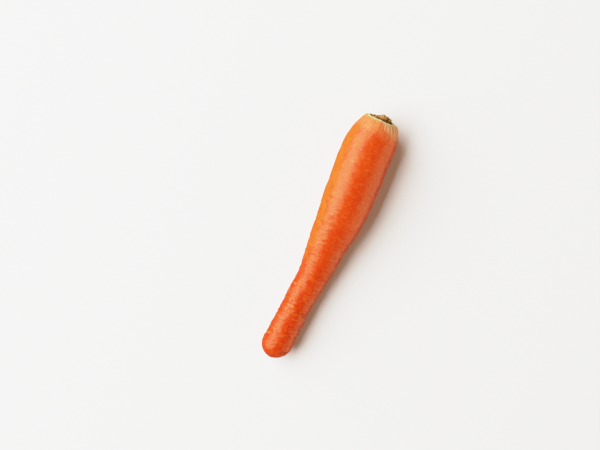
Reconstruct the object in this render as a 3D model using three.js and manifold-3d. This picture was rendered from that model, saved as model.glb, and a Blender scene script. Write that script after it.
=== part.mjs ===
// A carrot lying on its side: one blunt, slightly bent taproot, and in its crown the stubs of the leaf
// stalks, which were cut off. Millimetres; +X runs from the tail to the crown and +Z is up. The origin is
// under the middle of the carrot, on the surface that it lies on.
//
// Each piece is first made straight and upright, as a lathe makes it: y runs along the root from the tail,
// z is the side that will be on top, and x is the side that will be -Y. layDown() then moves every point
// to where it is on the lying, bent root.
import * as THREE from "three";
import { mergeVertices } from "three/addons/utils/BufferGeometryUtils.js";
import Module from "manifold-3d";

// ---- Driving dimensions ----
const LENGTH = 188; // from the tail to the rim of the crown
const SHOULDER_RADIUS = 18.3; // where the root is thickest
const FLATTENED = 0.98; // height of a section as a share of its width
const TAIL_ROUNDING = 10.8; // length of the round tail end
const SHOULDER_ROUNDING = 27.5; // length over which the shoulder falls to the rim
const SHOULDER_POWER = 2.2; // 2 is an ellipse, and more is squarer
const RIM_RADIUS = 10.2;
const LIP_WIDTH = 2.2; // of the broad, rounded edge of the rim
const LIP_HEIGHT = 0.6;
const CRATER_DEPTH = 3.4; // the leaf stalks grow out of a shallow crater
const CRATER_FLOOR_RADIUS = 7.1;
const CROWN_LEAN = 0.07; // the crown faces up a little: its upper side is drawn back by that share
const CROWN_LEAN_LENGTH = 12; // how far down the shoulder that fades

// Curves along the root, as knots of [share of the length from the tail, value].
const GIRTH = [
  [0, 0.575], [0.07, 0.602], [0.18, 0.575], [0.3, 0.59], [0.36, 0.629], [0.43, 0.7],
  [0.53, 0.826], [0.63, 0.942], [0.73, 0.99], [0.86, 0.998], [1, 0.975],
]; // radius, as a share of the shoulder's
const BOW = [
  [0, -0.6], [0.06, 0.1], [0.14, 0.6], [0.23, 1.2], [0.35, 3], [0.48, 3], [0.62, 3], [0.72, 2.15],
  [0.82, 0.75], [0.9, 0.65], [0.96, 0.8], [1, 0.3],
]; // how far the axis bends towards -Y
const UNDERSIDE = [
  [0, 0.7], [0.08, -0.2], [0.24, 0.8], [0.45, 0.05], [0.6, 0.35], [0.78, -0.38], [0.88, -0.3],
  [1, 1.4],
]; // height of the round underside over the surface; what would be below it is flattened

// ---- Fineness ----
const SIDES = 48;
const STEP = 2.8; // between sections along the root
const TAIL_SECTIONS = 6;
const SHOULDER_SECTIONS = 12;
const LIP_SECTIONS = 4;
const CRATER_SECTIONS = 3;

// ---- Relief of the skin ----
const LOBES = [
  [0.012, 2, 0.6, 1.1], [0.01, 3, 2.1, -1.7], [0.006, 5, 0.3, 2.4],
]; // out-of-round: share of the radius, lobes, phase, and twist over the length
const SWELLS = [
  [0.15, 37, 1, 0.4], [0.1, 23, 2, 2.2], [0.07, 13, 1, 4],
]; // gentle bumps: height, spacing along the root, lobes, phase
const CREASES = 30; // short grooves across the root
const CREASE_DEPTH = 0.32;
const CREASE_WIDTH = 1.5;
const CREASE_REACH = 0.95; // longest angle to each side of its middle
const PLEATS = 12; // puckers that run from the rim down the shoulder
const PLEAT_DEPTH = 0.14;
const PLEAT_LENGTH = 8;
const SLOPE_DEPTH = 0.6; // on the +Y side the shoulder slopes more steeply to the rim
const SLOPE_MIDDLE = 3.2; // distance from the rim where it is drawn in the most
const SLOPE_LENGTH = 3.4;

// ---- Leaf stalks ----
const GAP = 0.3; // between the foot of the stalks and the crater
const FOOT_RADIUS = 6.8;
const FOOT_THICKNESS = 1.2;
const STALKS = 8; // thick ones, in a spiral from the outside in
const OUTER_STALK = 5.1; // distance of the outermost from the axis
const STALK_PITCH = 0.52; // each next one is that much further in, so that the fourth clears the first
const STALK_REACH = 0.72; // how far a section wraps round to each side, as an angle
const STALK_THICKNESS = 1.35;
const OUTER_TOP = 2.8; // height of the outermost over the rim
const INNER_TOP = 4.6; // height of the innermost over the rim
const HEART_RADIUS = 1; // the young leaves in the middle, still one bundle
const HEART_TOP = 4.9;
const SCALES = 5; // thin dry leaf bases in a ring outside the stalks
const SCALE_DISTANCE = 6.25;
const SCALE_REACH = 0.5;
const SCALE_THICKNESS = 0.7;
const SCALE_TOP = 0.6;
const CUT_SLOPE = 0.1; // the knife went through at a slant
const SPLAY = 0.02; // outward lean of the stalks, as a share per millimetre of height
const TUFT_LEAN = 0.12; // how far the whole tuft leans towards -Y, per millimetre of height
const HORN = 0.8; // share of the thickness that a section loses towards its ends
const ARC_SECTIONS = 6;

const SKIN = new THREE.MeshStandardMaterial({ color: 0xe8661f, roughness: 0.42, metalness: 0 });
const DRY = new THREE.MeshStandardMaterial({ color: 0xa8823a, roughness: 0.8, metalness: 0 });

const GOLDEN_ANGLE = Math.PI * (3 - Math.sqrt(5));
const { clamp, euclideanModulo, lerp } = THREE.MathUtils;

// A smooth curve through knots of [place, value].
function between(knots, place) {
  const last = knots.length - 1;
  const at = clamp(place, knots[0][0], knots[last][0]);
  let i = 0;
  while (i < last - 1 && at > knots[i + 1][0]) i++;
  const slopeAt = (k) => {
    const [x0, y0] = knots[Math.max(k - 1, 0)];
    const [x1, y1] = knots[Math.min(k + 1, last)];
    return (y1 - y0) / (x1 - x0);
  };
  const [x0, y0] = knots[i];
  const [x1, y1] = knots[i + 1];
  const span = x1 - x0;
  const u = (at - x0) / span;
  const v = 1 - u;
  return (
    y0 * v * v * (1 + 2 * u) +
    y1 * u * u * (1 + 2 * v) +
    span * u * v * (v * slopeAt(i) - u * slopeAt(i + 1))
  );
}

// ---- The root's form ----

const girth = (along) => SHOULDER_RADIUS * between(GIRTH, along / LENGTH);

// Radius of the straight root, with its round tail and its shoulder.
function radiusAt(along) {
  const toTail = clamp(1 - along / TAIL_ROUNDING, 0, 1);
  const toRim = clamp(1 - (LENGTH - along) / SHOULDER_ROUNDING, 0, 1);
  const body = girth(along) * Math.sqrt(1 - toTail ** 2);
  const fall = (1 - toRim ** SHOULDER_POWER) ** (1 / SHOULDER_POWER);
  return lerp(RIM_RADIUS, body, fall);
}

// Takes a point of the straight root to its place on the lying one. The bend is slight, so every section
// only shifts, and stays square to the length up to the crown, which leans.
function layDown(point) {
  const along = clamp(point.y, 0, LENGTH);
  const share = along / LENGTH;
  const axisHeight = girth(along) * FLATTENED + between(UNDERSIDE, share);
  const lean = CROWN_LEAN * Math.exp(-(((LENGTH - along) / CROWN_LEAN_LENGTH) ** 2));
  return new THREE.Vector3(
    point.y - lean * point.z,
    -between(BOW, share) - point.x,
    axisHeight + point.z * FLATTENED,
  );
}

// ---- Relief ----

// The creases are spread evenly by two irrational steps, so that no two lie side by side.
const creases = Array.from({ length: CREASES }, (_, i) => {
  const place = lerp(TAIL_ROUNDING, LENGTH - SHOULDER_ROUNDING, ((i + 1) * 0.7549) % 1);
  const size = ((i + 1) * 0.3819) % 1;
  return {
    along: TAIL_ROUNDING + STEP * Math.round((place - TAIL_ROUNDING) / STEP),
    around: 2 * Math.PI * (((i + 1) * 0.5698) % 1),
    depth: CREASE_DEPTH * lerp(0.45, 1, size),
    reach: CREASE_REACH * lerp(0.4, 1, size),
  };
});

function creaseDepth(along, around) {
  let depth = 0;
  for (const crease of creases) {
    const turn = euclideanModulo(around - crease.around + Math.PI, 2 * Math.PI) - Math.PI;
    if (Math.abs(turn) > crease.reach) continue;
    const end = Math.cos((turn / crease.reach) * (Math.PI / 2)) ** 2;
    depth += crease.depth * end * Math.exp(-(((along - crease.along) / CREASE_WIDTH) ** 2));
  }
  return depth;
}

// How far the skin stands out from the smooth root.
function relief(along, around, radius) {
  const share = along / LENGTH;
  let height = 0;
  for (const [size, lobes, phase, twist] of LOBES)
    height += radius * size * Math.cos(lobes * around + phase + twist * share);
  for (const [size, spacing, lobes, phase] of SWELLS)
    height += size * Math.sin((2 * Math.PI * along) / spacing + lobes * around + phase);
  const pleat = PLEAT_DEPTH * Math.exp(-(((LENGTH - along) / PLEAT_LENGTH) ** 2));
  height += pleat * Math.cos(PLEATS * around + 2 * Math.sin(around));
  const slope = Math.exp(-(((LENGTH - along - SLOPE_MIDDLE) / SLOPE_LENGTH) ** 2));
  height -= SLOPE_DEPTH * slope * ((1 - Math.sin(around)) / 2) ** 2;
  return height - creaseDepth(along, around);
}

// ---- Root ----

// Half the outline of the straight root: up the skin, over the lip and down into the crater.
// Each point says how much relief it takes.
function outline() {
  const points = [];
  const add = (radius, along, skin) => points.push({ radius, along, skin });
  for (let i = 0; i < TAIL_SECTIONS; i++) {
    const along = TAIL_ROUNDING * (1 - Math.cos(((i / TAIL_SECTIONS) * Math.PI) / 2));
    add(radiusAt(along), along, Math.min(1, along / TAIL_ROUNDING));
  }
  const shoulder = LENGTH - SHOULDER_ROUNDING;
  for (let along = TAIL_ROUNDING; along < shoulder; along += STEP) add(radiusAt(along), along, 1);
  for (let i = 0; i < SHOULDER_SECTIONS; i++) {
    const along = shoulder + SHOULDER_ROUNDING * Math.sin(((i / SHOULDER_SECTIONS) * Math.PI) / 2);
    if (along - points.at(-1).along > STEP / 4) add(radiusAt(along), along, 1);
  }
  for (let i = 0; i <= LIP_SECTIONS; i++) {
    const turn = (i / LIP_SECTIONS) * Math.PI;
    const radius = RIM_RADIUS - (LIP_WIDTH / 2) * (1 - Math.cos(turn));
    add(radius, LENGTH + LIP_HEIGHT * Math.sin(turn), 1 - i / LIP_SECTIONS);
  }
  const inside = RIM_RADIUS - LIP_WIDTH;
  for (let i = 1; i <= CRATER_SECTIONS; i++) {
    const turn = ((i / CRATER_SECTIONS) * Math.PI) / 2;
    const radius = lerp(CRATER_FLOOR_RADIUS, inside, Math.cos(turn));
    add(radius, LENGTH - CRATER_DEPTH * Math.sin(turn), 0);
  }
  add(CRATER_FLOOR_RADIUS / 2, LENGTH - CRATER_DEPTH, 0);
  add(0, LENGTH - CRATER_DEPTH, 0);
  return points;
}

function makeRoot() {
  const profile = outline();
  const turned = new THREE.LatheGeometry(
    profile.map(({ radius, along }) => new THREE.Vector2(radius, along)),
    SIDES,
  );
  const places = turned.getAttribute("position");
  for (let i = 0; i < places.count; i++) {
    const { radius, along, skin } = profile[i % profile.length];
    const point = new THREE.Vector3().fromBufferAttribute(places, i);
    if (radius > 0) {
      const around = Math.atan2(point.x, point.z);
      const grown = 1 + (skin * relief(along, around, radius)) / radius;
      point.set(point.x * grown, point.y, point.z * grown);
    }
    const lying = layDown(point);
    places.setXYZ(i, lying.x, lying.y, Math.max(lying.z, 0));
  }
  return turned;
}

// ---- Leaf stalks ----

// The outline of a stalk's section: a crescent that wraps round the heart of the crown.
function crescent(distance, thickness, reach) {
  const outer = [];
  const inner = [];
  for (let i = 0; i <= ARC_SECTIONS; i++) {
    const share = (2 * i) / ARC_SECTIONS - 1;
    const half = (thickness / 2) * (1 - HORN * share ** 4);
    const direction = new THREE.Vector2(Math.cos(reach * share), Math.sin(reach * share));
    outer.push(direction.clone().multiplyScalar(distance + half));
    inner.unshift(direction.clone().multiplyScalar(distance - half));
  }
  return new THREE.Shape([...outer, ...inner]);
}

// A stalk that stands in the foot, turned about the crown's axis, with a slanted cut on top.
function stalk(section, around, top) {
  const bottom = LENGTH - CRATER_DEPTH + GAP + 0.4 * FOOT_THICKNESS;
  const body = new THREE.ExtrudeGeometry(section, { depth: 1, bevelEnabled: false });
  body.rotateZ(around);
  const places = body.getAttribute("position");
  for (let i = 0; i < places.count; i++) {
    const [x, y, share] = [places.getX(i), places.getY(i), places.getZ(i)];
    const height = share * (LENGTH + top - bottom + CUT_SLOPE * x);
    const lean = 1 + SPLAY * height;
    places.setXYZ(i, x * lean, bottom + height, -y * lean);
  }
  return body;
}

// One solid from several overlapping closed geometries.
async function fused(geometries) {
  const wasm = await Module();
  wasm.setup();
  const solids = geometries.map((geometry) => {
    const closed = new THREE.BufferGeometry();
    const loose = geometry.index ? geometry.toNonIndexed() : geometry;
    closed.setAttribute("position", loose.getAttribute("position"));
    const merged = mergeVertices(closed, 1e-4);
    return new wasm.Manifold(
      new wasm.Mesh({
        numProp: 3,
        vertProperties: merged.getAttribute("position").array,
        triVerts: new Uint32Array(merged.index.array),
      }),
    );
  });
  const mesh = solids.reduce((whole, next) => whole.add(next)).getMesh();
  const result = new THREE.BufferGeometry();
  result.setAttribute("position", new THREE.BufferAttribute(mesh.vertProperties, 3));
  result.setIndex(new THREE.BufferAttribute(mesh.triVerts, 1));
  return result;
}

async function makeLeafStalks() {
  const floor = LENGTH - CRATER_DEPTH + GAP;
  const top = floor + FOOT_THICKNESS;
  const foot = new THREE.LatheGeometry(
    [
      new THREE.Vector2(0, floor),
      new THREE.Vector2(FOOT_RADIUS, floor),
      new THREE.Vector2(FOOT_RADIUS, floor + FOOT_THICKNESS / 2),
      new THREE.Vector2(FOOT_RADIUS - 1, top),
      new THREE.Vector2(0, top),
    ],
    SIDES / 2,
  );
  const heartLength = LENGTH + HEART_TOP - floor - GAP;
  const heart = new THREE.CylinderGeometry(0.8 * HEART_RADIUS, HEART_RADIUS, heartLength, 10);
  heart.translate(0, floor + GAP + heartLength / 2, 0);
  const pieces = [foot, heart];
  for (let i = 0; i < SCALES; i++) {
    const section = crescent(SCALE_DISTANCE, SCALE_THICKNESS, SCALE_REACH);
    pieces.push(stalk(section, (2 * Math.PI * (i + 0.3)) / SCALES, SCALE_TOP));
  }
  for (let i = 0; i < STALKS; i++) {
    const section = crescent(OUTER_STALK - i * STALK_PITCH, STALK_THICKNESS, STALK_REACH);
    const height = lerp(OUTER_TOP, INNER_TOP, i / (STALKS - 1));
    pieces.push(stalk(section, i * GOLDEN_ANGLE, height));
  }
  const whole = await fused(pieces);
  const places = whole.getAttribute("position");
  for (let i = 0; i < places.count; i++) {
    const upright = new THREE.Vector3().fromBufferAttribute(places, i);
    upright.x += TUFT_LEAN * (upright.y - floor);
    const lying = layDown(upright);
    places.setXYZ(i, lying.x, lying.y, lying.z);
  }
  return whole;
}

// ---- The carrot ----

const carrot = new THREE.Group();
const root = new THREE.Mesh(makeRoot(), SKIN);
root.name = "root";
const leafStalks = new THREE.Mesh(await makeLeafStalks(), DRY);
leafStalks.name = "leaf_stalk_stubs";
carrot.add(root, leafStalks);

const size = new THREE.Box3().setFromObject(carrot);
const middle = size.getCenter(new THREE.Vector3());
carrot.position.set(-middle.x, -middle.y, -size.min.z);

export default carrot;
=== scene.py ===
# %% [markdown]
# # A carrot, root and cut leaf stalks
#
# This lesson builds one fresh carrot that lies on its side. It has two pieces. The root is a blunt taproot:
# thick at the shoulder, thin and round at the tail, bent a little, with a shallow crater in its crown. The
# stubs of the leaf stalks stand in that crater, where a knife has cut them off.
#
# A frame was made before, in CAD: it has the right size and the main shapes, and the physics uses it. Here
# each CAD solid is replaced by a much finer mesh in the same place, made by the same formulas, and then given
# its finish. We start by loading the frame.

# %% Load the frame
import math

import bmesh
import bpy
import numpy as np
from mathutils import Matrix, Vector


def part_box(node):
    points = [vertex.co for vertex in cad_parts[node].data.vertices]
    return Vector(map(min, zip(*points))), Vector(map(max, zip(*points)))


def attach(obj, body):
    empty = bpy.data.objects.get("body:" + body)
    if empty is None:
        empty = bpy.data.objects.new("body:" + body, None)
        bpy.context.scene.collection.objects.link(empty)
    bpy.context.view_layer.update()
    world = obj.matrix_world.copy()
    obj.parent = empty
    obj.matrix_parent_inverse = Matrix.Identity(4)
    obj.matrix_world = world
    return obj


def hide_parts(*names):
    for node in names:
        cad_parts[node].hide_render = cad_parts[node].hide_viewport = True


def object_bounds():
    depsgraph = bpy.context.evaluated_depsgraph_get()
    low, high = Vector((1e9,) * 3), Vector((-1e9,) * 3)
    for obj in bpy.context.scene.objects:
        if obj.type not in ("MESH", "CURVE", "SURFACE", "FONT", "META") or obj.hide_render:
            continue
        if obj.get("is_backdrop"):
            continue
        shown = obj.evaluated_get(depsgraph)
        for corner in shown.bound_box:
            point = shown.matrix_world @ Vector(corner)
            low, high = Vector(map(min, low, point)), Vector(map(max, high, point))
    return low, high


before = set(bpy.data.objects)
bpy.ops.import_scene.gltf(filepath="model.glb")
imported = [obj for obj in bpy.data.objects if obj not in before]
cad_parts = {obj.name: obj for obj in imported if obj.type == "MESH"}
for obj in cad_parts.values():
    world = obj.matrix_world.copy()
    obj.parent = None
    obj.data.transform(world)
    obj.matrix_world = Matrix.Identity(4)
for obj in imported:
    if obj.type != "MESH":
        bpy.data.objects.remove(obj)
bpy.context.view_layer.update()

# %% [markdown]
# ## The camera
#
# Vegetables are often shown from straight above, so that their outline shows best. The camera here
# looks down too, but leans a few degrees towards the crown, so that the crater and the stubs can be seen.
# It is also rolled about its own axis, which lays the carrot slantwise across the picture.
#
# A Track To constraint could aim the camera. Vectors say the same more plainly: `away` points from the
# carrot to the lens, and `right` and `up` are the picture's own directions. `to_crown` and `to_side` lie in
# the picture too, along the carrot and across it. The lamps will be placed by `away`, `right` and `up`.

# %% Camera
CAMERA_LEAN = math.radians(8)  # from straight above, towards the crown
CAMERA_ROLL = math.radians(24.7)
CAMERA_DISTANCE = 0.827
CAMERA_TARGET = Vector((0.0003, 0.0218, 0.015))
CAMERA_LENS = 70  # focal length in mm

away = Vector((math.sin(CAMERA_LEAN), 0, math.cos(CAMERA_LEAN)))
to_crown = Vector((math.cos(CAMERA_LEAN), 0, -math.sin(CAMERA_LEAN)))
to_side = Vector((0, -1, 0))
right = math.sin(CAMERA_ROLL) * to_crown + math.cos(CAMERA_ROLL) * to_side
up = math.cos(CAMERA_ROLL) * to_crown - math.sin(CAMERA_ROLL) * to_side

camera = bpy.data.objects.new("camera", bpy.data.cameras.new("camera"))
bpy.context.scene.collection.objects.link(camera)
turned_camera = Matrix((right, up, away)).transposed().to_4x4()
camera.matrix_world = Matrix.Translation(CAMERA_TARGET + CAMERA_DISTANCE * away) @ turned_camera
camera.data.lens = CAMERA_LENS
bpy.context.scene.camera = camera
print("The camera is", round(camera.location.z, 3), "m above the surface")

# %% [markdown]
# ## The root's form
#
# A carrot is nearly a turned shape: a radius that changes along the length. We could model it with a curve
# and a Screw modifier, but a grid of points in NumPy is quicker to bend and to wrinkle later. So we write
# the radius as a function of `along`, the distance from the tail in millimetres.
#
# `through` draws a smooth curve through a few knots, as a thin batten would. Girth, bend and the height of
# the underside are such curves.

# %% Curves along the root
LENGTH = 188  # from the tail to the rim of the crown
GIRTH = [
    (0, 0.575), (0.07, 0.602), (0.18, 0.575), (0.3, 0.59), (0.36, 0.629), (0.43, 0.7),
    (0.53, 0.826), (0.63, 0.942), (0.73, 0.99), (0.86, 0.998), (1, 0.975),
]  # radius, as a share of the shoulder's
BOW = [
    (0, -0.6), (0.06, 0.1), (0.14, 0.6), (0.23, 1.2), (0.35, 3), (0.48, 3), (0.62, 3), (0.72, 2.15),
    (0.82, 0.75), (0.9, 0.65), (0.96, 0.8), (1, 0.3),
]  # how far the axis bends towards -Y
UNDERSIDE = [
    (0, 0.7), (0.08, -0.2), (0.24, 0.8), (0.45, 0.05), (0.6, 0.35), (0.78, -0.38), (0.88, -0.3),
    (1, 1.4),
]  # height of the round underside over the surface


def through(knots, place):
    """A smooth curve through knots of (place, value)."""
    at, value = np.array(knots, float).T
    slope = np.empty_like(value)
    slope[1:-1] = (value[2:] - value[:-2]) / (at[2:] - at[:-2])
    slope[0] = (value[1] - value[0]) / (at[1] - at[0])
    slope[-1] = (value[-1] - value[-2]) / (at[-1] - at[-2])
    place = np.clip(place, at[0], at[-1])
    i = np.clip(np.searchsorted(at, place, side="right") - 1, 0, len(at) - 2)
    span = at[i + 1] - at[i]
    u = (place - at[i]) / span
    v = 1 - u
    smooth = value[i] * v * v * (1 + 2 * u) + value[i + 1] * u * u * (1 + 2 * v)
    return smooth + span * u * v * (v * slope[i] - u * slope[i + 1])


print("The axis bends by up to", max(bend for _, bend in BOW), "mm")

# %% [markdown]
# ## The round ends
#
# At its ends the outline turns square to the axis, and a radius that goes through knots can't do that. So the
# tail end is a part of an ellipse, and the shoulder falls to the rim of the crater along a slightly squarer
# one. Both are laid over the girth's curve.

# %% Radius
SHOULDER_RADIUS = 18.3
FLATTENED = 0.98  # height of a section as a share of its width
TAIL_ROUNDING = 10.8
SHOULDER_ROUNDING = 27.5
SHOULDER_POWER = 2.2
RIM_RADIUS = 10.2


def girth(along):
    return SHOULDER_RADIUS * through(GIRTH, along / LENGTH)


def radius_at(along):
    """Radius of the straight, smooth root."""
    to_tail = np.clip(1 - along / TAIL_ROUNDING, 0, 1)
    to_rim = np.clip(1 - (LENGTH - along) / SHOULDER_ROUNDING, 0, 1)
    body = girth(along) * np.sqrt(1 - to_tail**2)
    fall = (1 - to_rim**SHOULDER_POWER) ** (1 / SHOULDER_POWER)
    return RIM_RADIUS + (body - RIM_RADIUS) * fall


print("Radius at the middle:", round(float(radius_at(LENGTH / 2)), 1), "mm")

# %% [markdown]
# ## The outline that is turned
#
# The outline of half the root starts at the tail's tip, goes up the skin and over the broad, rounded lip of
# the rim, and ends in the middle of the crater. Each of its points will become a row of the mesh.
#
# A Screw modifier would space the rows evenly. Here they are closest where the form turns quickly, at the
# tail and the lip. On the body they are about a third of a millimetre apart, because the skin's fine lines
# run round the root, across its length. `row_skin` says how much relief a row takes: all of it on the skin,
# less and less towards the tip and over the lip, and none in the crater.

# %% Rows of the outline
LIP_WIDTH = 2.2
LIP_HEIGHT = 0.6
CRATER_DEPTH = 3.4
CRATER_FLOOR_RADIUS = 7.1
ROW_STEP = 0.36
TAIL_ROWS = 26
SHOULDER_ROWS = 76
LIP_ROWS = 14
CRATER_ROWS = 16
FLOOR_ROWS = 9

quarter = np.linspace(0, math.pi / 2, TAIL_ROWS, endpoint=False)
tail = TAIL_ROUNDING * (1 - np.cos(quarter))
shoulder_start = LENGTH - SHOULDER_ROUNDING
body = np.arange(TAIL_ROUNDING, shoulder_start, ROW_STEP)
quarter = np.linspace(0, math.pi / 2, SHOULDER_ROWS, endpoint=False)
shoulder = shoulder_start + SHOULDER_ROUNDING * np.sin(quarter)
skin_rows = np.concatenate([tail[1:], body, shoulder])

half_turn = np.linspace(0, math.pi, LIP_ROWS)
lip_radius = RIM_RADIUS - LIP_WIDTH / 2 * (1 - np.cos(half_turn))
lip_along = LENGTH + LIP_HEIGHT * np.sin(half_turn)

quarter = np.linspace(0, math.pi / 2, CRATER_ROWS)[1:]
inside = RIM_RADIUS - LIP_WIDTH
wall_radius = CRATER_FLOOR_RADIUS + (inside - CRATER_FLOOR_RADIUS) * np.cos(quarter)
wall_along = LENGTH - CRATER_DEPTH * np.sin(quarter)
floor_radius = np.linspace(CRATER_FLOOR_RADIUS, 0, FLOOR_ROWS)[1:-1]
floor_along = np.full_like(floor_radius, LENGTH - CRATER_DEPTH)

row_radius = np.concatenate([radius_at(skin_rows), lip_radius, wall_radius, floor_radius])
row_along = np.concatenate([skin_rows, lip_along, wall_along, floor_along])
crater_skin = np.zeros(len(wall_along) + len(floor_along))
row_skin = np.concatenate([np.minimum(1, skin_rows / TAIL_ROUNDING), 1 - half_turn / math.pi, crater_skin])
print(len(row_along), "rows, the closest", round(float(np.diff(skin_rows).min()), 2), "mm apart")

# %% [markdown]
# ## The grid of points
#
# Turning the outline gives a grid: one row for each of its points, and one column for each angle round the
# root. We keep it as four tables of the same shape. `A` is the angle, counted from the top towards -Y, and
# `ALONG`, `RADIUS` and `SKIN` repeat the outline's own numbers. From here on, a mark on the skin is a formula
# over these tables, which NumPy works out for all points at once, where a loop in Python would take minutes.

# %% Grid
SIDES = 168

around = 2 * math.pi * np.arange(SIDES) / SIDES
A, ALONG = np.meshgrid(around, row_along)
RADIUS = np.repeat(row_radius[:, None], SIDES, axis=1)
SKIN = np.repeat(row_skin[:, None], SIDES, axis=1)
from_rim = LENGTH - ALONG
print(A.size, "points, round the shoulder", round(2 * math.pi * SHOULDER_RADIUS / SIDES, 2), "mm apart")

# %% [markdown]
# ## Relief that the CAD solid has too
#
# No root is perfectly round. Four kinds of relief are large enough to show in the outline, so they repeat
# the CAD solid's numbers: *lobes*, which make the section out of round, *swells*, long and gentle bumps,
# *pleats*, which pucker the skin where it turns in to the rim, and a *slope* on the +Y side of the shoulder,
# which is drawn in more steeply there.
#
# Sculpting would give the same forms, but waves with named heights can be written alike in both places.

# %% Lobes, swells, pleats and the slope
LOBES = [(0.012, 2, 0.6, 1.1), (0.01, 3, 2.1, -1.7), (0.006, 5, 0.3, 2.4)]  # share, lobes, phase, twist
SWELLS = [(0.15, 37, 1, 0.4), (0.1, 23, 2, 2.2), (0.07, 13, 1, 4)]  # height, spacing, lobes, phase
PLEATS = 12
PLEAT_SHIFT = 2  # makes their spacing uneven
PLEAT_DEPTH = 0.14
PLEAT_LENGTH = 8
SLOPE_DEPTH = 0.6
SLOPE_MIDDLE = 3.2
SLOPE_LENGTH = 3.4

relief = np.zeros_like(A)
for share, lobes, phase, twist in LOBES:
    relief += RADIUS * share * np.cos(lobes * A + phase + twist * ALONG / LENGTH)
for height, spacing, lobes, phase in SWELLS:
    relief += height * np.sin(2 * math.pi * ALONG / spacing + lobes * A + phase)
pleat = PLEAT_DEPTH * np.exp(-((from_rim / PLEAT_LENGTH) ** 2))
relief += pleat * np.cos(PLEATS * A + PLEAT_SHIFT * np.sin(A))
slope = np.exp(-(((from_rim - SLOPE_MIDDLE) / SLOPE_LENGTH) ** 2))
relief -= SLOPE_DEPTH * slope * ((1 - np.sin(A)) / 2) ** 2
print("Out of round by up to", round(float(np.abs(relief).max()), 2), "mm")

# %% [markdown]
# ## Creases
#
# A crease is a short groove across the root, where a thin side root once grew out. In its middle is a slit,
# finer than the CAD solid can show. The creases are spread by irrational steps, a simple rule that never
# puts two side by side and that needs no list of places.
#
# `mark_across` adds one soft line to a table of numbers. The wrinkles and the pores of the skin will use it
# as well, so it can also lie at a slant.

# %% Creases
CREASES = 30
CREASE_STEPS = (0.7549, 0.5698, 0.3819)  # from one to the next: along the root, round it and in size
CREASE_DEPTH = 0.32
CREASE_WIDTH = 1.5
CREASE_REACH = 0.95  # to each side, as an angle
LEAST_DEPTH = 0.45  # as a share of the deepest crease's
LEAST_REACH = 0.4
CREASE_GRID = 2.8  # the CAD solid's rows: a crease lies on one of them
SLIT_DEPTH = 0.12
SLIT_WIDTH = 0.35
SLIT_REACH = 0.45  # as a share of its crease's


def mark_across(field, along, angle, reach, width, height, slant=0):
    """Adds to a field a soft line that runs round the root for a part of a turn."""
    near = np.abs(row_along - along) < 3 * width + reach * abs(slant)
    turn = (A[near] - angle + math.pi) % (2 * math.pi) - math.pi
    ends = np.where(np.abs(turn) < reach, np.cos(turn / reach * math.pi / 2) ** 2, 0)
    off_line = ALONG[near] - along - slant * turn
    field[near] += height * ends * np.exp(-((off_line / width) ** 2))


slits = np.zeros_like(A)
for i in range(1, CREASES + 1):
    along_share, turn_share, size = (i * step % 1 for step in CREASE_STEPS)
    place = along_share * (shoulder_start - TAIL_ROUNDING)
    along = TAIL_ROUNDING + CREASE_GRID * round(place / CREASE_GRID)
    angle = 2 * math.pi * turn_share
    depth = CREASE_DEPTH * (LEAST_DEPTH + (1 - LEAST_DEPTH) * size)
    reach = CREASE_REACH * (LEAST_REACH + (1 - LEAST_REACH) * size)
    mark_across(relief, along, angle, reach, CREASE_WIDTH, -depth)
    mark_across(slits, along, angle, SLIT_REACH * reach, SLIT_WIDTH, size)
relief -= SLIT_DEPTH * slits
print(CREASES, "creases, up to", CREASE_DEPTH, "mm deep")

# %% [markdown]
# ## Unevenness
#
# Between the swells and the fine lines the skin is a little uneven, as if patted by fingers. This doesn't
# show in the outline, but it breaks up the gloss. A Displace modifier with a cloud texture could do it. A sum
# of many low waves in all directions looks the same, closes without a seam round the root, and needs only the
# grid that we have. All random numbers come from one seeded generator, so each run gives the same carrot.

# %% Unevenness
WAVES = 46
WAVE_HEIGHT = 0.006  # of a wave with a spacing of 7 mm
WAVE_FADE = 8  # the waves grow from nothing at the rim over this length

rng = np.random.default_rng(7)
uneven = np.zeros_like(A)
for _ in range(WAVES):
    lobes = rng.integers(-14, 15)
    spacing = rng.uniform(4, 14)
    phase = rng.uniform(0, 2 * math.pi)
    height = spacing / 7 * WAVE_HEIGHT
    uneven += height * np.sin(lobes * A + 2 * math.pi * ALONG / spacing + phase)
relief += uneven * np.minimum(1, from_rim / WAVE_FADE)
print("Uneven by up to", round(float(np.abs(uneven).max()), 2), "mm")

# %% [markdown]
# ## Wrinkles
#
# Across the root run very many short wrinkles, because it shrinks and swells in length as it grows. Wider
# *folds* lie between them, most of them near the tail. Both are ridges as often as grooves, and both are
# strongest at the tail. These are what a carrot's gloss breaks on, so they are real relief and not a bump.
#
# A stretched noise texture gives lines too, but they all have the same length. `scatter` strews single lines,
# each with a size and a slant of its own, and sums them up. We keep the sum, to colour the ridges later.

# %% Wrinkles and folds
WRINKLES = 3400
WRINKLE_HEIGHT = 0.22
FOLDS = 560
FOLD_HEIGHT = 0.9  # as a share of a wrinkle's
WRINKLE_FADE = 12  # from the rim
WRINKLE_STRENGTH = [(0, 1.4), (0.3, 1.15), (0.6, 0.65), (0.85, 0.4), (1, 0.5)]  # from tail to crown


def scatter(places, half_length, width, height, slant):
    """Soft lines across the root. Their sizes are drawn: (least, commonest, most) or (least, most)."""
    field = np.zeros_like(A)
    for along in places:
        angle = rng.uniform(0, 2 * math.pi)
        reach = rng.triangular(*half_length) / float(radius_at(along))
        line = rng.triangular(*width), rng.uniform(*height)
        mark_across(field, along, angle, reach, *line, slant=rng.normal(0, slant))
    return field


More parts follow.
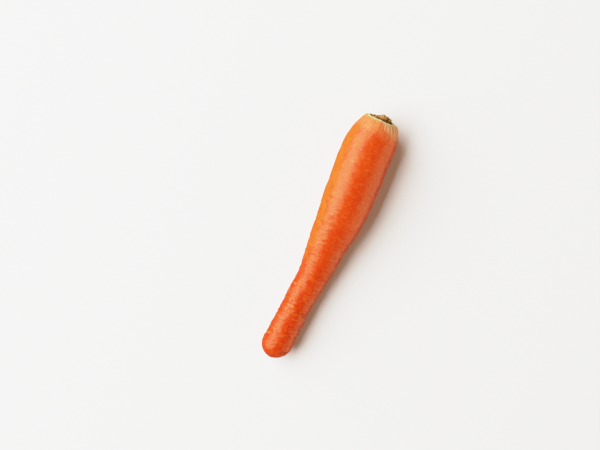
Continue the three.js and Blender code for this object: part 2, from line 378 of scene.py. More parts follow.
places = LENGTH * rng.uniform(0.02, 0.97, WRINKLES)
wrinkles = scatter(places, (0.8, 2.5, 9), width=(0.22, 0.32, 0.7), height=(-1, 1), slant=0.7)
places = LENGTH * rng.triangular(0.02, 0.12, 0.95, FOLDS)
folds = scatter(places, (1.5, 3, 7), width=(0.5, 0.7, 0.9), height=(-1, 1), slant=0.5)
wrinkles += FOLD_HEIGHT * folds
wrinkles *= through(WRINKLE_STRENGTH, ALONG / LENGTH) * np.minimum(1, from_rim / WRINKLE_FADE)
relief += WRINKLE_HEIGHT * wrinkles
print("Wrinkles stand up to", round(float(WRINKLE_HEIGHT * wrinkles.max()), 2), "mm high")

# %% [markdown]
# ## Lenticels
#
# *Lenticels* are the short pale lines through which the root breathes: thin raised welts. They are drawn as
# the wrinkles are, but always stand up, and are capped where two of them cross.

# %% Lenticels
LENTICELS = 520
LENTICEL_HEIGHT = 0.07
LENTICEL_CAP = 1.2

places = rng.uniform(4, LENGTH - 6, LENTICELS)
lenticels = scatter(places, (0.6, 1.3, 4.5), width=(0.2, 0.28, 0.38), height=(0.2, 0.95), slant=0.8)
lenticels = np.minimum(lenticels, LENTICEL_CAP)
relief += LENTICEL_HEIGHT * lenticels
print(LENTICELS, "lenticels")

# %% [markdown]
# ## Scuffs
#
# A carrot that has been washed and sorted has a few rubbed spots, dull and a little sunken. There are so few
# that each is listed one by one. Two waves make its edge ragged, as a clean oval would look like a label.

# %% Scuffs
SCUFFS = [
    # along, angle from the top towards -Y in degrees, length, width, strength
    (162, 74, 2.4, 1.1, 1.0),
    (143, -31, 1.0, 2.2, 0.5),
    (96, 100, 1.6, 3.0, 0.8),
    (58, -52, 1.2, 1.8, 0.6),
    (70, -140, 2.2, 3.5, 0.7),
    (128, 165, 2.5, 5.0, 0.8),
    (31, 150, 1.5, 2.5, 0.6),
]
SCUFF_DEPTH = 0.06

scuffs = np.zeros_like(A)
ragged = 1 + 0.35 * np.sin(3 * ALONG + 9 * A) * np.sin(23 * A + 1.7 * ALONG)
for along, degrees, length, width, strength in SCUFFS:
    turn = (A - math.radians(degrees) + math.pi) % (2 * math.pi) - math.pi
    out = np.hypot((ALONG - along) / length, turn * RADIUS / width) * ragged
    scuffs += strength * np.exp(-(out**3))
relief -= SCUFF_DEPTH * scuffs
print(len(SCUFFS), "scuffs")

# %% [markdown]
# ## The puckered rim
#
# Where the skin turns in to the rim it is drawn into fine pleats, between the coarse ones, and the rim's
# edge itself is wavy. One side of the shoulder stood out of the soil: it is *sunned*, bleached and dry, and
# its pleats are deeper. `folds_round` makes such a ring of folds. Its spacing changes on the way round, as a
# ring of equal waves would look turned on a machine.

# %% Fine pleats and the rim's edge
FINE_PLEAT_LENGTH = 6
FINE_PLEAT_DEPTH = 0.09
SUNNED_PLEAT_DEPTH = 0.11  # what is added where the root is sunned
SUNNED_ANGLE = math.radians(53)
SUNNED_REACH = 0.82  # to each side, as an angle
SUNNED_LENGTH = 8
SUNNED_LONGER = 5  # on one side of the sunned part, and as much shorter on the other
RIM_EDGE_LENGTH = 4  # how far the waves of the edge reach down the shoulder
FINE_PLEATS = [(0.6, 31, 3, 3), (0.4, 53, 2, 5)]
RIM_WAVES = [(0.22, 3, 0.6, 1), (0.12, 7, 1, 2), (0.07, 16, 2, 2)]
RIM_PLEATING = 0.1  # how much the fine pleats move the edge


def folds_round(folds):
    """A ring of uneven folds: for each kind its height, count, and how much and how often it shifts."""
    return sum(high * np.cos(count * A + shift * np.sin(often * A)) for high, count, shift, often in folds)


sun_turn = (A - SUNNED_ANGLE + math.pi) % (2 * math.pi) - math.pi
sunned_length = SUNNED_LENGTH + SUNNED_LONGER * np.sin(sun_turn)
sunned = np.exp(-((sun_turn / SUNNED_REACH) ** 4)) * np.exp(-((from_rim / sunned_length) ** 2))
pleats = folds_round(FINE_PLEATS) * np.exp(-((from_rim / FINE_PLEAT_LENGTH) ** 2))
relief += pleats * (FINE_PLEAT_DEPTH + SUNNED_PLEAT_DEPTH * sunned)
rim_wave = folds_round(RIM_WAVES) + RIM_PLEATING * pleats
rim_wave *= np.exp(-((from_rim / RIM_EDGE_LENGTH) ** 2)) * (RADIUS > CRATER_FLOOR_RADIUS)
print("The rim's edge waves by", round(float(np.ptp(rim_wave)), 2), "mm")

# %% [markdown]
# ## The broken tail
#
# A real taproot goes on as a thin string. When that breaks off, it leaves a small round scar with a raised
# edge, and a few puckers run towards it. Both move the points along the root, not outwards, because the skin
# faces the tail there. A point's own distance from the tip, `from_tip`, says where they are.

# %% Tail scar
SCAR_RADIUS = 1.5
SCAR_HEIGHT = 0.35
SCAR_EDGE = 0.45
PUCKERS = [(0.5, 5, 2, 1), (0.5, 11, 3, 2)]
PUCKER_DEPTH = 0.13
PUCKER_LENGTH = 5
FAR = 1e3  # stands for the distance from the tip wherever that doesn't matter

at_tail = ALONG < TAIL_ROUNDING
from_tip = np.where(at_tail, RADIUS, FAR)
scar = SCAR_HEIGHT * np.exp(-(((from_tip - SCAR_RADIUS) / SCAR_EDGE) ** 2))
puckers = folds_round(PUCKERS) * np.exp(-((from_tip / PUCKER_LENGTH) ** 2))
scar += PUCKER_DEPTH * puckers * np.minimum(1, from_tip / SCAR_RADIUS)
scar *= ALONG < PUCKER_LENGTH
print("The scar's edge stands", round(float(scar.max()), 2), "mm high")

# %% [markdown]
# ## From numbers to places
#
# Now every point gets its place. The radius grows by the relief, less so near the tip, where the columns are
# so close that they would cross. The crater's wall gets a few folds of its own.
#
# A Curve modifier could bend the straight root, but it would tilt the rows as well. `lay_down` moves each
# row as a whole: sideways by the bow and up to its height over the surface. It also leans the crown's face
# back a little. The stubs will be laid down by the same function. What then lies below the surface is
# pressed flat, which gives the small spots that the carrot rests on.

# %% Place the points
CROWN_LEAN = 0.07
CROWN_LEAN_LENGTH = 12
CALM_RADIUS = 5  # nearer the tip than this, the relief fades
CRATER_FOLDS = [(0.15, 17, 2, 3)]
CRATER_FOLDS_START = 3  # radius
CRATER_FOLDS_GROWTH = 5


def lay_down(sideways, along, upwards):
    """Moves points of a straight root to where they are on the bent one that lies down."""
    share = np.clip(along / LENGTH, 0, 1)
    axis_height = girth(share * LENGTH) * FLATTENED + through(UNDERSIDE, share)
    lean = CROWN_LEAN * np.exp(-(((1 - share) * LENGTH / CROWN_LEAN_LENGTH) ** 2))
    y = -through(BOW, share) - sideways
    return np.stack([along - lean * upwards, y, axis_height + FLATTENED * upwards], axis=-1)


grown = RADIUS + relief * SKIN * np.minimum(1, RADIUS / CALM_RADIUS)
in_crater = np.clip((RADIUS - CRATER_FOLDS_START) / CRATER_FOLDS_GROWTH, 0, 1) * (SKIN == 0)
grown += folds_round(CRATER_FOLDS) * in_crater
places = lay_down(grown * np.sin(A), ALONG + rim_wave - scar, grown * np.cos(A))
places[:, :, 2] = np.maximum(places[:, :, 2], 0)
print("Shape in mm:", np.ptp(places, axis=(0, 1)).round(1))

# %% [markdown]
# ## From places to a mesh
#
# Four neighbours in the grid make a face, and a fan of triangles closes each end. `from_pydata` would take
# Python lists, which is slow for a hundred thousand points. `foreach_set` hands NumPy's memory to Blender in
# one go. We write that as a function, because the stubs are grids too.
#
# CAD's root starts at the low end of its box, so ours is shifted there. Its sides are centred in the box.

# %% Grid to mesh
def grid_mesh(name, points, first_pole, last_pole):
    """A closed mesh from rows of points, (rows, columns, 3), with a pole at each end."""
    rows, columns, _ = points.shape
    vertices = np.concatenate([points.reshape(-1, 3), [first_pole, last_pole]])
    here = np.arange(columns)
    beside = (here + 1) % columns
    starts = np.arange(rows - 1)[:, None] * columns
    next_row = starts + columns
    quads = np.stack([starts + here, starts + beside, next_row + beside, next_row + here], axis=-1)
    bottom, top, last_row = rows * columns, rows * columns + 1, (rows - 1) * columns
    fan_in = np.stack([np.full(columns, bottom), beside, here], axis=-1)
    fan_out = np.stack([np.full(columns, top), last_row + here, last_row + beside], axis=-1)
    corners = np.concatenate([quads.ravel(), fan_in.ravel(), fan_out.ravel()])
    sizes = np.concatenate([np.full(quads.size // 4, 4), np.full(2 * columns, 3)])
    loop_starts = np.cumsum(sizes) - sizes

    mesh = bpy.data.meshes.new(name)
    mesh.vertices.add(len(vertices))
    mesh.vertices.foreach_set("co", vertices.astype(np.float32).ravel())
    mesh.loops.add(len(corners))
    mesh.loops.foreach_set("vertex_index", corners.astype(np.int32))
    mesh.polygons.add(len(sizes))
    mesh.polygons.foreach_set("loop_start", loop_starts.astype(np.int32))
    mesh.update(calc_edges=True)
    mesh.validate()
    mesh.shade_smooth()
    return mesh


TIP_DENT = 0.25  # the middle of the tail is pressed in by this

low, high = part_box("root")
middle = (places[:, :, 1].min() + places[:, :, 1].max()) / 2
shift = np.array([1000 * low.x, 500 * (low.y + high.y) - middle, 0])
ends_along = np.array([TIP_DENT, LENGTH - CRATER_DEPTH])
ends = (lay_down(np.zeros(2), ends_along, np.zeros(2)) + shift) / 1000
root_mesh = grid_mesh("carrot_root", (places + shift) / 1000, *ends)
root = bpy.data.objects.new("carrot_root", root_mesh)
bpy.context.scene.collection.objects.link(root)
print("carrot_root:", len(root_mesh.vertices), "points,", len(root_mesh.polygons), "faces")

# %% [markdown]
# ## The stubs of the leaf stalks
#
# Each leaf stalk wraps round the younger ones, so a cut through it is a crescent. The stalks stand in a
# spiral, each turned by the golden angle from the one before, and the inner ones are cut longer. Thin dry
# *scales* stand outside them, and a bundle of young leaves, the *heart*, in the middle. A round *foot* joins
# them all. These numbers are the CAD solid's too, except that the cut is nearly half a millimetre lower here
# and slants down on the +Y side. Only the *papers* are new: torn brown skins of older leaves, which line the
# crater and are far too thin for CAD.

# %% The tuft's numbers
GAP = 0.3  # between the foot and the crater
FOOT_RADIUS = 6.8
FOOT_THICKNESS = 1.2
STALKS = 8
OUTER_STALK = 5.1  # distance of the outermost stalk from the middle
STALK_PITCH = 0.52
STALK_REACH = 0.72  # to each side, as an angle
STALK_THICKNESS = 1.35
OUTER_TOP = 2.4  # heights over the rim
INNER_TOP = 4.2
HEART_RADIUS = 1
HEART_TOP = 4.4
SCALES = 5
SCALE_DISTANCE = 6.25
SCALE_REACH = 0.5
SCALE_THICKNESS = 0.7
SCALE_TOP = 0.6
HORN = 0.8  # how much thinner a crescent is at its ends
CUT_SLOPE = 0.1  # each stub is higher on its outer side
CUT_SLANT = 0.4  # all stalks are lower on the +Y side
SPLAY = 0.02
TUFT_LEAN = 0.12
PAPERS = 9
PAPER_DISTANCE = 6.2
PAPER_THICKNESS = 0.42
PAPER_REACH = (0.25, 0.4)
PAPER_TOP = (-1.3, -0.2)
PAPER_SHIFT = (-0.2, 0.2)  # out of its even place in the ring, as a share of the spacing
PAPER_SPLAY = 0.05

golden_angle = math.pi * (3 - math.sqrt(5))
crater_floor = LENGTH - CRATER_DEPTH + GAP
print(STALKS, "stalks,", SCALES, "scales and", PAPERS, "papers")

# %% [markdown]
# ## One stub
#
# A stub is a loft. Its outline, a crescent, is repeated up the stalk and then drawn in to a line over the
# cut. A Curve with a bevel would give the wall, but not the details that make a cut stalk look dry: `ribs`
# run down its sides, the upper edge is `torn`, and the ends of the bundles that carried water stand up
# from the cut as small *knobs*, because the soft tissue between them shrinks more.
#
# `wobble` draws the uneven lines. It is a sum of three waves whose spacings don't fit each other, so it never
# repeats in view.

# %% One stub
OUTLINE_POINTS = 64
WALL_ROWS = 22
CUT_ROWS = 7
RIB_DEPTH = 0.13  # as a share of the half thickness
KNOB_HEIGHT = 0.16
CUT_DOME = 0.3


def wobble(place, rough=1.0):
    """An uneven line of height about 1; the finest of its waves is as high as rough says."""
    phases = rng.uniform(0, 2 * math.pi, 3)
    waves = zip((3.1, 7.3, 15.7), (0.6, 0.4, 0.3 * rough), phases)
    return sum(height * np.sin(often * place + phase) for often, height, phase in waves)


def stub(distance, thickness, reach, turned, top, torn=0.12, splay=SPLAY, slant=0):
    """One cut stalk on the upright crown, as rows of points: sideways, along, upwards."""
    out = np.linspace(-1, 1, OUTLINE_POINTS // 2, endpoint=False)
    share = np.concatenate([out, -out])  # there on the outside and back on the inside
    side = np.repeat([1, -1], OUTLINE_POINTS // 2)
    round_ends = np.sqrt(np.clip(1.04 - np.abs(share) ** 9, 0, 1))
    half = thickness / 2 * (1 - HORN * share**4) * round_ends
    ribs = RIB_DEPTH * np.where(side > 0, wobble(5 * share, 2), wobble(5 * share))
    knobs = KNOB_HEIGHT * np.cos(11 * share * reach * distance / 3) * min(1, thickness)
    bottom = crater_floor + 0.4 * FOOT_THICKNESS
    rise = LENGTH + top + CUT_SLOPE * distance * np.cos(reach * share) - bottom
    rise += slant * np.minimum(0, distance * np.cos(turned + reach * share))
    rise += torn * wobble(2 * share, 2)
    rows = []
    for row in range(WALL_ROWS + CUT_ROWS):
        up_wall = min(1, row / (WALL_ROWS - 1))
        over_cut = max(0, row - WALL_ROWS + 1) / CUT_ROWS
        draw_in = math.sqrt(1 - over_cut**2)
        angle = turned + reach * share * (0.9 + 0.1 * draw_in)
        r = distance + side * half * draw_in * (1 + ribs * up_wall)
        height = up_wall * rise + CUT_DOME * over_cut * (1 - over_cut) + knobs * (1 - draw_in)
        r = r * (1 + splay * height)
        rows.append(np.stack([r * np.cos(angle), bottom + height, -r * np.sin(angle)], axis=-1))
    return np.array(rows)


print("A stub has", (WALL_ROWS + CUT_ROWS) * OUTLINE_POINTS, "points")

# %% [markdown]
# Now the numbers become stubs. Scales, stalks and papers are one form, longer or shorter. Each one has a
# random wobble of its own, and the papers, which nobody cut evenly, also get random places and sizes.

# %% All the stubs
stubs = []
for i in range(SCALES):
    turned = 2 * math.pi * (i + 0.3) / SCALES
    stubs.append(stub(SCALE_DISTANCE, SCALE_THICKNESS, SCALE_REACH, turned, SCALE_TOP, torn=0.4))
for i in range(STALKS):
    top = OUTER_TOP + (INNER_TOP - OUTER_TOP) * i / (STALKS - 1)
    distance = OUTER_STALK - i * STALK_PITCH
    stubs.append(stub(distance, STALK_THICKNESS, STALK_REACH, i * golden_angle, top, slant=CUT_SLANT))
for i in range(PAPERS):
    turned = 2 * math.pi * (i + rng.uniform(*PAPER_SHIFT)) / PAPERS
    reach = rng.uniform(*PAPER_REACH)
    top = rng.uniform(*PAPER_TOP)
    paper = stub(PAPER_DISTANCE, PAPER_THICKNESS, reach, turned, top, torn=0.35, splay=PAPER_SPLAY)
    stubs.append(paper)
print(len(stubs), "stubs")

# %% [markdown]
# ## Foot and heart
#
# Both are turned from a short profile, as the root is, and ribbed a little: the foot like a disc of bark,
# the heart like a few young stalks that are still folded together.

# %% Foot and heart
FOOT_PROFILE = [
    # distance from the axis, height over the crater's floor
    (FOOT_RADIUS - 0.3, 0),
    (FOOT_RADIUS, 0.25 * FOOT_THICKNESS),
    (FOOT_RADIUS, 0.5 * FOOT_THICKNESS),
    (FOOT_RADIUS - 0.4, 0.85 * FOOT_THICKNESS),
    (FOOT_RADIUS - 1, FOOT_THICKNESS),
]
heart_height = HEART_TOP + CRATER_DEPTH - GAP
HEART_PROFILE = [
    (HEART_RADIUS, GAP),
    (0.9 * HEART_RADIUS, 3),
    (0.95 * HEART_RADIUS, heart_height - 0.3),
    (0.7 * HEART_RADIUS, heart_height),
    (0.3 * HEART_RADIUS, heart_height - 0.25),
]


def turned_rows(profile, ribs, rib_depth):
    """Rows of points, turned from a profile, with ribs of uneven spacing."""
    angle = np.linspace(0, 2 * math.pi, OUTLINE_POINTS, endpoint=False)
    rib = 1 + rib_depth * np.cos(ribs * angle + 2 * np.sin(2 * angle))
    radius, height = np.array(profile).T[:, :, None]
    along = crater_floor + height + 0 * angle
    return np.stack([radius * rib * np.sin(angle), along, radius * rib * np.cos(angle)], axis=-1)


foot = turned_rows(FOOT_PROFILE, ribs=19, rib_depth=0.02)
heart = turned_rows(HEART_PROFILE, ribs=5, rib_depth=0.16)
print("The heart is", round(heart_height, 1), "mm high")

# %% [markdown]
# ## Fused to one tuft
#
# The living stalks are one tissue, so the loose bodies must become one skin. A boolean union would keep
# every point, but often fails where thin bodies nearly touch. A voxel remesh melts closed bodies that
# overlap, whatever they look like, and rounds the corners between them a little, as tissue does. Its voxels
# are small enough to keep the ribs and the knobs.

# %% Fuse the stubs
VOXEL = 0.13

loose = bmesh.new()
for rows in [foot, heart, *stubs]:
    sideways, along, upwards = np.moveaxis(rows, -1, 0)
    sideways = sideways + TUFT_LEAN * (along - crater_floor)
    rows = (lay_down(sideways, along, upwards) + shift) / 1000
    loose.from_mesh(grid_mesh("stub", rows, rows[0].mean(axis=0), rows[-1].mean(axis=0)))
loose_mesh = bpy.data.meshes.new("loose_stubs")
loose.to_mesh(loose_mesh)
loose.free()

tuft = bpy.data.objects.new("carrot_leaf_stalk_stubs", loose_mesh)
bpy.context.scene.collection.objects.link(tuft)
melt = tuft.modifiers.new("melt together", "REMESH")
melt.mode = "VOXEL"
melt.voxel_size = VOXEL / 1000
fused = bpy.data.meshes.new_from_object(tuft.evaluated_get(bpy.context.evaluated_depsgraph_get()))
tuft.modifiers.clear()
tuft.data = fused
fused.shade_smooth()
print("Melted together:", len(fused.vertices), "points,", len(fused.polygons), "faces")

# %% [markdown]
# A voxel remesh may leave specks, tiny closed boxes in a hollow that is nearly as small as a voxel. We walk
# over the mesh from neighbour to neighbour, starting at the longest stalk, and delete what wasn't reached.
# It may also leave points that nearly coincide, and faces without area between them, so those are merged.

# %% Sweep up the specks
SAME_POINT = 0.01  # points that are nearer than this are one

swept = bmesh.new()
swept.from_mesh(fused)
front = [max(swept.verts, key=lambda point: point.co.x)]
reached = set(front)
while front:
    point = front.pop()
    beside = {edge.other_vert(point) for edge in point.link_edges} - reached
    reached |= beside
    front.extend(beside)
specks = [point for point in swept.verts if point not in reached]
bmesh.ops.delete(swept, geom=specks, context="VERTS")
bmesh.ops.remove_doubles(swept, verts=swept.verts, dist=SAME_POINT / 1000)
swept.to_mesh(fused)
swept.free()
print("Swept up", len(specks), "points; carrot_leaf_stalk_stubs has", len(fused.vertices))

# %% [markdown]
# ## Standing for the CAD solids
#
# Each fine piece takes the place of its CAD solid and rides on the same body.

# %% Stand for the CAD solids
for piece, node, finish in [(root, "root", "root_skin"), (tuft, "leaf_stalk_stubs", "dry_leaf_stalk")]:
    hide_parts(node)
    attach(piece, "root")
    print(piece.name, "stands for", node)

# %% [markdown]
# ## What the skin's colours need to know
#
# A pattern made of noise alone wouldn't follow the relief: its pale lines would miss the welts. So the
# tables of the wrinkles, lenticels, scuffs and pleats go to the mesh as *attributes*, one number for each
# point, and the material reads them by name. No picture and no UV map is needed.
#
# Four attributes tell places. `straight` is where a point was before the root was bent, so that a pattern
# bends along with the root. `from_rim` is the way along the skin to the rim, less than zero inside the
# crater, and `from_tip` is the distance from the tail's tip. `lit_flank` says how much a point belongs to the
# +Y side, which faces the softbox and is painted yellower there as painted light.

# %% Numbers for the skin's colours
# Painted light: the +Y flank faces the softbox, so it is painted yellower, fading towards the tail.
LIT_FLANK = [(0, 0), (0.3, 0.1), (0.46, 1), (1, 1)]  # how yellow the +Y flank is, from tail to crown
LIT_FLANK_TURN = 0.1  # how far above the side the flank's middle lies, as an angle


def add_attribute(mesh, name, values, poles=(0, 0)):
    """Stores one number for each point, for the material to read."""
    attribute = mesh.attributes.new(name, "FLOAT", "POINT")
    attribute.data.foreach_set("value", np.append(values.ravel(), poles).astype(np.float32))


walked = np.append(0, np.cumsum(np.hypot(np.diff(row_radius), np.diff(row_along))))
row_path = walked[len(skin_rows)] - walked
path = np.repeat(row_path[:, None], SIDES, axis=1)
lit_flank = np.maximum(0, -np.sin(A - LIT_FLANK_TURN)) ** 2 * through(LIT_FLANK, ALONG / LENGTH)
add_attribute(root_mesh, "from_rim", path, (row_path[0], row_path[-1]))
add_attribute(root_mesh, "from_tip", from_tip, (0, FAR))
for name, values in [
    ("wrinkle", wrinkles), ("lenticel", lenticels), ("slit", slits), ("scuff", scuffs),
    ("pleat", pleats), ("sunned", sunned), ("lit_flank", lit_flank),
]:
    add_attribute(root_mesh, name, values)

straight = np.stack([RADIUS * np.sin(A), ALONG, RADIUS * np.cos(A)], axis=-1).reshape(-1, 3)
straight = np.append(straight, [[0, 0, 0], [0, LENGTH - CRATER_DEPTH, 0]], axis=0)
vectors = root_mesh.attributes.new("straight", "FLOAT_VECTOR", "POINT")
vectors.data.foreach_set("vector", straight.astype(np.float32).ravel())
print("The crater's skin reaches", round(-float(row_path[-1]), 1), "mm in from the rim")

# %% [markdown]
# ## What the stubs' colours need to know
#
# The remesh has lost every number that the rows knew, but a point's place and the way its surface faces tell
# enough. A point near the top that faces along the root is on a `cut`. One deep in the crater gets painted
# shade, less of it on the +Y side, which faces the softbox.

# %% Numbers for the stubs' colours
CUT_FACING = (0.35, 0.4)  # how squarely a cut faces the crown, at least, and how softly it ends
CUT_DEEPEST = 1.5  # under the rim
# Painted shade: the crater's dark begins this much deeper on the +Y side, which faces the softbox.
SHADE_DEEPER_ON_LIT_SIDE = 2.6  # how much deeper the dark begins on the washed side
LIT_SIDE_FROM = (3, 2)  # where on the +Y side, and how softly, in mm

flat = np.empty(3 * len(fused.vertices), np.float32)
fused.vertices.foreach_get("co", flat)
place = flat.reshape(-1, 3) * 1000 - shift
fused.vertices.foreach_get("normal", flat)
facing_crown = flat.reshape(-1, 3)[:, 0]
crown_axis = through(UNDERSIDE, 1) + girth(LENGTH) * FLATTENED
over_rim = place[:, 0] + CROWN_LEAN * (place[:, 2] - crown_axis) - LENGTH
squarely, softly = CUT_FACING
cut = np.clip((facing_crown - squarely) / softly, 0, 1) * np.clip(over_rim + CUT_DEEPEST, 0, 1)
add_attribute(fused, "cut", cut, ())
lit_side_start, lit_side_softly = LIT_SIDE_FROM
lit_side = np.clip((place[:, 1] - lit_side_start) / lit_side_softly, 0, 1)
# The depth carries the painted shade of the crater.
add_attribute(fused, "depth", -over_rim - SHADE_DEEPER_ON_LIT_SIDE * lit_side, ())
print("Stubs stand", round(float(over_rim.max()), 1), "mm over the rim")

# %% [markdown]
# ## A short hand for nodes
#
# Materials are made of nodes. Written out one by one, each takes three or four lines, and the recipe is lost
# among them. `Finish` gives the few nodes that we need short names: `field` reads an attribute, `noise`
# makes a pattern, `ease` turns a number into a soft step, and `mix` lays one colour over another. A finish
# then reads like a painter's list of glazes.

# %% Helpers for materials
class Finish:
    """A finish that is being mixed on the nodes of one material."""

    def __init__(self, name):
        self.material = bpy.data.materials.new(name)
        self.material.use_nodes = True
        self.tree = self.material.node_tree
        self.shader = self.tree.nodes["Principled BSDF"]

    def put(self, value, socket):
        """Links a socket to another one, or sets it to a number or a colour."""
        if isinstance(value, bpy.types.NodeSocket):
            self.tree.links.new(value, socket)
        elif socket.type == "RGBA":
            socket.default_value = (*value, 1)
        else:
            socket.default_value = value

    def node(self, kind, inputs, **settings):
        made = self.tree.nodes.new(kind)
        for setting, value in settings.items():
            setattr(made, setting, value)
        for name, value in inputs.items():
            self.put(value, made.inputs[name])
        return made

    def field(self, name, output="Fac"):
        """What the mesh's attribute of this name says at a point."""
        return self.node("ShaderNodeAttribute", {}, attribute_name=name).outputs[output]

    def place(self, scale, moved=(0, 0, 0)):
        """Where a point was on the straight root: sideways, along and upwards, each scaled."""
        inputs = {"Vector": self.field("straight", "Vector"), "Scale": scale, "Location": moved}
        return self.node("ShaderNodeMapping", inputs).outputs["Vector"]

    def noise(self, place, detail=3, roughness=0.55, distortion=0, scale=1):
        inputs = {"Vector": place, "Scale": scale, "Detail": detail, "Roughness": roughness}
        return self.node("ShaderNodeTexNoise", {**inputs, "Distortion": distortion}).outputs["Fac"]

    def ease(self, value, low, high, to_low=0.0, to_high=1.0):
        """Goes smoothly from to_low to to_high as the value goes from low to high."""
        inputs = {"Value": value, "From Min": low, "From Max": high, "To Min": to_low, "To Max": to_high}
        return self.node("ShaderNodeMapRange", inputs, interpolation_type="SMOOTHSTEP").outputs["Result"]

    def add(self, first, second):
        return self.node("ShaderNodeMath", {0: first, 1: second}, operation="ADD").outputs[0]

    def times(self, first, second):
        return self.node("ShaderNodeMath", {0: first, 1: second}, operation="MULTIPLY").outputs[0]

    def mix(self, amount, under, over):
        """Colour `over`, laid on colour `under` as thickly as amount says, from 0 to 1."""
        made = self.node("ShaderNodeMix", {0: amount, 6: under, 7: over}, data_type="RGBA")
        return made.outputs[2]

    def bump(self, height, distance):
        inputs = {"Height": height, "Distance": distance, "Strength": 1}
        return self.node("ShaderNodeBump", inputs).outputs["Normal"]

    def set(self, **inputs):
        for name, value in inputs.items():
            self.put(value, self.shader.inputs[name.replace("_", " ")])


skin = Finish("carrot skin")
print("The skin starts with", len(skin.tree.nodes), "nodes")

# %% [markdown]
# ## The skin's ground colour
#
# A carrot's orange isn't even: it is deeper in some places and yellower in others, and deeper again towards
# the tail. The +Y flank, which faces the softbox, is painted golden as painted light, less so towards the
# tail. Over that lie streaks, which run round the root as its cells do. They come from stretched noise: scale
# a pattern more along the root than across, and its blots become short lines round it. The last layer is a
# *grain* of dots a millimetre or two wide.
#
# Each layer covers only a part of the one below. One sharp pattern in two colours would look printed.

# %% Ground colour and streaks
ORANGE = (0.61, 0.041, 0.0025)
DEEP_ORANGE = (0.48, 0.0235, 0.002)
YELLOW_ORANGE = (0.65, 0.082, 0.0035)
# Painted light on the flank that faces the softbox.
LIT_FLANK_ORANGE = (0.65, 0.098, 0.0025)  # of the +Y flank
PALE_STREAK = (0.68, 0.135, 0.011)

blots = skin.noise(skin.place((0.05, 0.035, 0.05)), detail=2)
clouds = skin.noise(skin.place((0.16, 0.12, 0.16), (7, 3, 1)))
streaks = skin.noise(skin.place((0.2, 1.25, 0.2), (3, 0, 9)), distortion=0.3)
dark_streaks = skin.noise(skin.place((0.24, 1.6, 0.24), (0, 40, 5)), detail=2, distortion=0.4)
grain = skin.noise(skin.place((0.48, 0.95, 0.48)), roughness=0.6)
lit_flank_mask = skin.add(skin.field("lit_flank"), skin.ease(clouds, 0.3, 0.7, -0.15, 0.15))

colour = skin.mix(skin.ease(blots, 0.35, 0.65, 0, 0.4), ORANGE, DEEP_ORANGE)
colour = skin.mix(skin.ease(clouds, 0.45, 0.8, 0, 0.5), colour, YELLOW_ORANGE)
# Painted light: the lit flank turns golden.
colour = skin.mix(skin.ease(lit_flank_mask, 0.3, 0.95, 0, 0.85), colour, LIT_FLANK_ORANGE)
colour = skin.mix(skin.ease(streaks, 0.52, 0.8, 0, 0.5), colour, PALE_STREAK)
colour = skin.mix(skin.ease(skin.field("from_rim"), 70, 140, 0, 0.55), colour, DEEP_ORANGE)
colour = skin.mix(skin.ease(dark_streaks, 0.5, 0.75, 0, 0.7), colour, DEEP_ORANGE)
colour = skin.mix(skin.ease(grain, 0.5, 0.68, 0, 0.5), colour, PALE_STREAK)
colour = skin.mix(skin.ease(grain, 0.48, 0.3, 0, 0.5), colour, DEEP_ORANGE)
print("Nodes after the ground colour:", len(skin.tree.nodes))

# %% [markdown]
# ## Marks on the skin
#
# Wrinkles get painted shade in their grooves and a painted highlight on their tops.
# Lenticels are pale corky welts, slits are brown, and scuffs show the paler flesh under the skin. Since the
# mesh tells where all of these are, each colour lies exactly on its relief.

# %% Marks that the mesh knows
# Painted shade for the wrinkles' grooves.
GROOVE_SHADE = (0.44, 0.019, 0.002)
WELT = (0.68, 0.25, 0.07)
BROWN_SLIT = (0.30, 0.05, 0.012)
RUBBED = (0.64, 0.24, 0.07)

wrinkle = skin.field("wrinkle")
rubbed = skin.add(skin.field("scuff"), skin.ease(grain, 0.35, 0.65, -0.3, 0.3))
# Painted shade in the wrinkles' grooves.
colour = skin.mix(skin.ease(wrinkle, -0.2, -1.5, 0, 0.6), colour, GROOVE_SHADE)
# Painted highlight on the wrinkles' tops.
colour = skin.mix(skin.ease(wrinkle, 0.3, 1.6, 0, 0.5), colour, PALE_STREAK)
colour = skin.mix(skin.ease(skin.field("lenticel"), 0.25, 1, 0, 0.5), colour, WELT)
colour = skin.mix(skin.ease(skin.field("slit"), 0.15, 1, 0, 0.55), colour, BROWN_SLIT)
colour = skin.mix(skin.ease(rubbed, 0.3, 0.9, 0, 0.55), colour, RUBBED)
print("Nodes after the marks:", len(skin.tree.nodes))

# %% [markdown]
# ## Collar, rim and crater
#
# Towards the rim a carrot changes colour in narrow rings: a yellow *collar*, an olive edge where it has seen
# daylight, the pale dry rim with its *crest*, and the withered brown skin of the crater. The collar is paler
# than the skin's own yellow, as a painted highlight where the shoulder turns in, and deeper in the crater the
# browns darken as painted shade. On its sunned side the collar is bleached and painted paler still as a
# painted sheen, with brown in the grooves of the pleats.
#
# A Color Ramp could hold all the rings, but only one strength for all. So each ring is a layer of its own,
# and `rim_strip` moves their edges in and out a little with strands of noise, or they would look painted on
# a lathe. The broken tail gets the brown of the crater as well.

# %% Rim and crater
# Partly the collar's own yellow, partly a painted highlight on the shoulder.
COLLAR_AND_SHEEN = (0.68, 0.155, 0.04)
# Partly the bleached skin's own colour, partly a painted sheen that brightens the -Y side of the shoulder.
SUNNED_AND_SHEEN = (0.82, 0.48, 0.26)
SUNNED_GROOVE = (0.42, 0.18, 0.05)
OLIVE_EDGE = (0.5, 0.32, 0.09)
RIM = (0.61, 0.46, 0.21)
CREST = (0.72, 0.56, 0.29)
WITHERED = (0.4, 0.27, 0.1)
# Browns of dry tissue, also used as painted shade deep in the crater and between the stubs.
DRY_BROWN_AND_SHADE = (0.15, 0.06, 0.012)
DARK_BROWN_AND_SHADE = (0.075, 0.028, 0.006)

